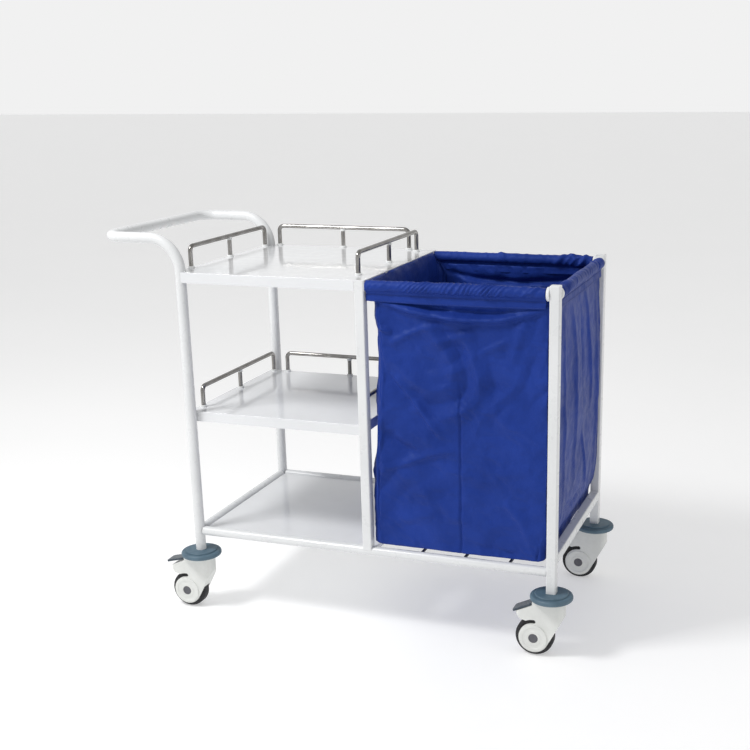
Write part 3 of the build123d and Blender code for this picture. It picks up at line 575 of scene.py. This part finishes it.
def cloth_rows():
    """(height, distance inwards) of every row: down the walls, round the foot and over the floor."""
    rows = [(z, 0.0) for z in np.arange(WALL_TOP, FLOOR_Z + FOOT_RADIUS, -STEP)]
    for k in range(1, FOOT_ROWS + 1):
        angle = k / FOOT_ROWS * pi / 2
        rows.append((FLOOR_Z + FOOT_RADIUS * (1 - sin(angle)), FOOT_RADIUS * (1 - cos(angle))))
    for k in range(1, FLOOR_ROWS + 1):
        rows.append((FLOOR_Z, FOOT_RADIUS + k / FLOOR_ROWS * FLOOR_REACH))
    return rows


def cloth_row(z, inset):
    """The points of one row and their distances along it."""
    x0 = TRAY_EDGE + curve_through(LEFT_FACE, z) + inset
    x1 = TRAY_EDGE + curve_through(RIGHT_FACE, z) - inset
    y0 = RAIL_FRONT.y - front_face(z) + inset
    y1 = RAIL_REAR.y + front_face(z) - inset
    corner = min(WALL_CORNER, (x1 - x0) / 2.05, (y1 - y0) / 2.05)   # always less than half the row
    x, y, nx, ny, s = rounded_loop(x0, x1, y0, y1, corner, AROUND)
    heights = np.full(AROUND, z)
    on_wall = max(0.0, 1 - inset / FOOT_RADIUS)
    push = wall_folds(x, y, nx, ny, heights) * max(on_wall, FLOOR_SHARE)
    wave = FLOOR_WAVE * SMALL_WAVES(x * 1.3, y * 1.3) * (1 - on_wall) * smooth(inset / 0.03)
    x, y = keep_clear_of_posts(x + nx * push, y + ny * push)
    lift = np.maximum(wave, 0.0) + rise_to_tray(y, nx, heights)
    return np.stack([x, y, heights + lift], 1), s


def bag_walls():
    """The hanging walls and the floor as one sheet."""
    stations = cloth_rows()
    rows, uvs, run = [], [], 0.0
    for i, station in enumerate(stations):
        points, s = cloth_row(*station)
        if i:
            run += float(np.hypot(*np.subtract(station, stations[i - 1])))
        rows.append(points)
        uvs.append(np.stack([s, np.full(AROUND, -run)], 1))
    last = (len(rows) - 1) * AROUND
    centre = len(rows) * AROUND
    faces = grid_faces(len(rows), AROUND, closed=True)
    faces += [(last + c, last + (c + 1) % AROUND, centre) for c in range(AROUND)]
    vertices = np.concatenate([*rows, [rows[-1].mean(0)]])
    uv = np.concatenate([*uvs, [[0.0, -run - 0.03]]])
    return mesh_object("bag_walls", vertices, faces, uv)


# ---------------------------------------------------------------- bag hems
HEM_RADIUS = RAIL_RADIUS + 0.0012     # cloth round the rail
HEM_LOW, STRIP = -0.036, 0.018        # lower edge of the sewn strip, from the rail's axis, and its height
LEFT_HEM_LOW, LEFT_STRIP = -0.028, 0.010   # the same under the tray's edge
ARCH_END = radians(38)                # the cloth leaves the rail this far below its axis on both sides
HEM_COLUMN = 0.0023                   # spacing of a hem's points along the rail
HEM_ROUND = 84                        # points across a hem
HEM_BELLY = 0.0035                    # the lower edges hang lower by this much at mid length
SEAM_TURN, SEAM_DEPTH = 0.72, 0.0007  # where the seam presses the cloth in, and how deep


def hem_section(low, strip, count=40):
    """Points (outward, height) of a hem sleeve, from its inner lower edge over the rail to the outer."""
    top, half = low + strip, low + strip / 2
    neck = top + min(0.006, -HEM_RADIUS * sin(ARCH_END) - top - 0.001)
    angles = np.linspace(pi + ARCH_END, -ARCH_END, count)
    inner = [(-0.0022, low), (-0.0020, half), (-0.0024, top), (-0.0062, neck)]
    arch = [(HEM_RADIUS * cos(a), HEM_RADIUS * sin(a)) for a in angles]
    outer = [(0.0062, neck), (0.0034, top), (0.0042, half), (0.0050, low)]
    return np.array(inner + arch + outer)


def resample(points, count):
    """Evenly spaced points along a polyline, and their distances along it."""
    steps = np.concatenate([[0], np.cumsum(np.linalg.norm(np.diff(points, axis=0), axis=1))])
    at = np.linspace(0, steps[-1], count)
    return np.stack([np.interp(at, steps, points[:, k]) for k in range(points.shape[1])], 1), at


def pucker(s, across, start, end, slant, spacing, height):
    """Slanting gathers of the sleeve round the rail, from start to end along it."""
    share = smooth((s - start) / 0.04) * smooth((end - s) / 0.04)
    phase = (s + slant * across) / spacing + 0.55 * HEM_WAVES(s, across)
    crest = (0.5 + 0.5 * np.sin(2 * pi * phase)) ** 2.5
    strength = 0.65 + 0.5 * HEM_WAVES(s * 1.7 + 3.0, across * 0.5)
    return height * share * np.clip(strength, 0.15, 1.2) * crest


def hem_push(s, across, turn, gathers, pinches):
    """How far the sleeve stands off its section. turn is 0 on top of the rail and 1 at both lower edges."""
    below_rail = smooth((turn - 0.35) / 0.3)
    on_rail = 1 - smooth((turn - 0.50) / 0.14)
    push = 0.0004 + 0.0006 * HEM_WAVES(s, across) + 0.0012 * below_rail * HEM_SWELL(s, across * 0.4)
    for gather in gathers:
        push += on_rail * pucker(s, across, *gather)
    for pinch in pinches:
        push += on_rail * ridge(s, across, *pinch)
    push = np.maximum(push, np.where(turn < 0.55, -0.0004, -0.0015))   # never into the rail
    seam = np.exp(-((turn - SEAM_TURN) / 0.02) ** 2)
    return push - SEAM_DEPTH * seam


def hem(name, rail, along, outward, start, end, gathers, pinches=(), low=HEM_LOW, strip=STRIP):
    """A sewn sleeve round one rail, and its points. along and outward are unit directions in plan."""
    section, distances = resample(hem_section(low, strip), HEM_ROUND)
    tangent = np.gradient(section, axis=0)
    tangent /= np.linalg.norm(tangent, axis=1)[:, None]
    length = end - start
    columns = int(length / HEM_COLUMN)
    s, across = np.meshgrid(np.linspace(0, length, columns), distances, indexing="ij")
    half = distances[-1] / 2
    turn = np.abs(across - half) / half
    push = hem_push(s, across, turn, gathers, pinches)
    out = section[:, 0] - tangent[:, 1] * push
    up = section[:, 1] + tangent[:, 0] * push
    belly = HEM_BELLY * np.sin(s / length * pi) ** 0.7 * smooth((turn - 0.6) / 0.35)
    x = (start + s) * along[0] + rail.x * abs(outward[0]) + out * outward[0]
    y = (start + s) * along[1] + rail.y * abs(outward[1]) + out * outward[1]
    points = np.stack([x, y, rail.z + up - belly], -1)
    uv = np.stack([s, across], -1).reshape(-1, 2)
    piece = mesh_object(name, points.reshape(-1, 3), grid_faces(columns, HEM_ROUND), uv)
    towards_rail = along[0] * outward[1] - along[1] * outward[0]
    add_thickness(piece, CLOTH, towards_rail)
    return piece, points


STITCH_PITCH, STITCH_LENGTH = 0.0042, 0.0026
THREAD_RADIUS = 0.00042
STITCH_LINES = (-12, -3)              # points of a hem that are sewn through, from its outer lower edge
STITCH_LIFT = CLOTH + 0.0002          # thread off the cloth
THREAD_SIDES = 6
THREAD_RINGS = ((0.0, 0.35), (0.25, 1.0), (0.75, 1.0), (1.0, 0.35))   # share of the length, of the radius
POINTS_PER_STITCH = 4


def stitch(start, end):
    """One short bar of thread with tapered ends."""
    axis = (end - start) / max(np.linalg.norm(end - start), 1e-9)
    side = np.cross(axis, [0, 0, 1.0])
    side /= np.linalg.norm(side)
    up = np.cross(side, axis)
    points = []
    for along, share in THREAD_RINGS:
        centre = start + (end - start) * along
        for j in range(THREAD_SIDES):
            angle = 2 * pi * j / THREAD_SIDES
            points.append(centre + THREAD_RADIUS * share * (side * cos(angle) + up * sin(angle)))
    rings = len(THREAD_RINGS)
    faces = grid_faces(rings, THREAD_SIDES, closed=True)
    first_end = tuple(range(THREAD_SIDES - 1, -1, -1))
    last_end = tuple(range((rings - 1) * THREAD_SIDES, rings * THREAD_SIDES))
    return np.array(points), [*faces, first_end, last_end]


def stitch_row(line):
    """Stitches along a line of points."""
    length = np.linalg.norm(np.diff(line, axis=0), axis=1).sum()
    points, _ = resample(line, max(2, int(length / (STITCH_PITCH / POINTS_PER_STITCH))))
    row = []
    for k in range(0, len(points) - POINTS_PER_STITCH, POINTS_PER_STITCH):
        step = points[k + POINTS_PER_STITCH] - points[k]
        row.append(stitch(points[k], points[k] + step * (STITCH_LENGTH / STITCH_PITCH)))
    return row


def build_hems():
    """The four sleeves and their stitches.

    A gather is start, end, slant, spacing, height; a pinch is points (along, across), width, height."""
    front = hem("bag_hem_front", RAIL_FRONT, (1, 0), (0, -1), HEM_START, HEM_END,
                [(0.07, 0.38, 1.0, 0.0125, 0.0040), (0.30, 0.46, 1.2, 0.0190, 0.0026),
                 (-0.03, 0.14, 0.8, 0.0180, 0.0012)],
                [([(0.442, 0.055), (0.434, 0.068), (0.422, 0.080), (0.400, 0.088)], 0.0040, 0.0045)])
    rear = hem("bag_hem_rear", RAIL_REAR, (1, 0), (0, 1), HEM_START, HEM_END,
               [(0.02, 0.44, 0.7, 0.026, 0.0012), (0.34, 0.46, -1.1, 0.019, 0.0028)],
               [([(0.190, 0.068), (0.202, 0.052), (0.214, 0.032)], 0.0060, 0.0050),
                ([(0.350, 0.028), (0.366, 0.045), (0.384, 0.066)], 0.0060, 0.0055),
                ([(0.388, 0.070), (0.406, 0.048), (0.418, 0.026)], 0.0070, 0.0070),
                ([(0.422, 0.028), (0.434, 0.048), (0.442, 0.070)], 0.0060, 0.0060)])
    right = hem("bag_hem_right", RAIL_RIGHT, (0, 1), (1, 0), -HEM_REACH, HEM_REACH,
                [(-0.03, 0.13, 1.1, 0.0120, 0.0030), (0.10, 0.36, 0.9, 0.030, 0.0012),
                 (0.36, 0.50, 1.0, 0.020, 0.0030)])
    left = hem("bag_hem_left", RAIL_LEFT, (0, 1), (-1, 0), -HEM_REACH, HEM_REACH,
               [(0.02, 0.44, 0.7, 0.018, 0.0012)], low=LEFT_HEM_LOW, strip=LEFT_STRIP)
    made = [front, rear, right, left]
    stitches = []
    for (_, points), outward in zip(made, ((0, -1, 0), (0, 1, 0), (1, 0, 0), (-1, 0, 0))):
        for line in STITCH_LINES:
            stitches += stitch_row(points[:, line] + STITCH_LIFT * np.array(outward))
    return [piece for piece, _ in made], join_parts("bag_stitches", stitches)


def build_bag():
    """The sewn bag: walls and floor, hems and stitches, all of one cloth."""
    cloth = bag_cloth()
    walls = bag_walls()
    add_thickness(walls, CLOTH)
    hems, stitches = build_hems()
    for piece in (walls, *hems):
        piece.data.materials.append(cloth)
    stitches.data.materials.append(bag_thread())
    for piece in (walls, *hems, stitches):
        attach(piece, "frame")
    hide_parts("linen_bag")


# ---------------------------------------------------------------- studio
FLOOR_HALF = 40.0                     # half the floor's width
ROOM_LIGHT = [(0.0, 0.88), (0.12, 0.88), (0.30, 0.70), (0.55, 0.55)]   # sine of the elevation, brightness
RIGHT_SHARE = 0.75                    # brightness of the room's right side, as a share of the rest
RIGHT_FROM, RIGHT_TO = 0.05, 0.30     # the room dims between these shares of the way to the right
LIGHT_AIM = Vector((0.0, 0.0, 0.5))
CAMERA_PLACE = (1.24637, -2.98127, 1.43198)
CAMERA_YAW, CAMERA_PITCH, CAMERA_ROLL = radians(19.40), radians(-16.69), radians(-0.87)
CAMERA_LENS, SENSOR_WIDTH = 57.73, 36.0   # millimetres
CAMERA_SHIFT = (-0.0816, 0.0771)      # sideways and up, as shares of the sensor's width


def studio():
    """A wide pale floor, a soft key light at the front left and a weak fill at the right."""
    points = [(-FLOOR_HALF, -FLOOR_HALF, 0), (FLOOR_HALF, -FLOOR_HALF, 0), (FLOOR_HALF, FLOOR_HALF, 0),
              (-FLOOR_HALF, FLOOR_HALF, 0)]
    floor = mesh_object("studio_floor", points, [(0, 1, 2, 3)])
    floor.data.materials.append(studio_floor())
    studio_world()
    soft_light("key", (-1.6, -1.7, 3.4), size=0.9, power=88)
    soft_light("fill", (3.4, -0.9, 1.9), size=1.6, power=10)
    bpy.context.scene.view_settings.view_transform = "Standard"


def studio_world():
    """A white room that is dimmer overhead and on its right side."""
    world = bpy.data.worlds.new("studio")
    bpy.context.scene.world = world
    world.use_nodes = True
    tree = world.node_tree
    background = tree.nodes["Background"]
    place = tree.nodes.new("ShaderNodeTexCoord")
    split = tree.nodes.new("ShaderNodeSeparateXYZ")
    fade = tree.nodes.new("ShaderNodeValToRGB")
    set_ramp(fade, [(height, (light, light, light)) for height, light in ROOM_LIGHT])
    shade = tree.nodes.new("ShaderNodeMapRange")
    shade.inputs["From Min"].default_value = RIGHT_FROM
    shade.inputs["From Max"].default_value = RIGHT_TO
    shade.inputs["To Min"].default_value = 1.0
    shade.inputs["To Max"].default_value = RIGHT_SHARE
    tree.links.new(place.outputs["Generated"], split.inputs["Vector"])
    tree.links.new(split.outputs["Z"], fade.inputs["Fac"])
    tree.links.new(split.outputs["X"], shade.inputs["Value"])
    tree.links.new(fade.outputs["Color"], background.inputs["Color"])
    tree.links.new(shade.outputs["Result"], background.inputs["Strength"])


def soft_light(name, place, size, power):
    """A square lamp that points at the trolley's middle."""
    data = bpy.data.lights.new(name, "AREA")
    data.shape, data.size, data.energy = "SQUARE", size, power
    light = bpy.data.objects.new(name, data)
    light.location = place
    light.rotation_euler = (LIGHT_AIM - Vector(place)).to_track_quat("-Z", "Y").to_euler()
    bpy.context.scene.collection.objects.link(light)


def camera():
    """Seen from the front right and above."""
    data = bpy.data.cameras.new("camera")
    data.sensor_width = SENSOR_WIDTH
    data.lens = CAMERA_LENS
    data.shift_x, data.shift_y = CAMERA_SHIFT
    eye = bpy.data.objects.new("camera", data)
    turn = Matrix.Rotation(CAMERA_YAW, 4, "Z") @ Matrix.Rotation(pi / 2 + CAMERA_PITCH, 4, "X")
    eye.matrix_world = Matrix.Translation(CAMERA_PLACE) @ turn @ Matrix.Rotation(CAMERA_ROLL, 4, "Z")
    bpy.context.scene.collection.objects.link(eye)
    bpy.context.scene.camera = eye


paint_frame()
paint_casters()
build_bag()
studio()
camera()
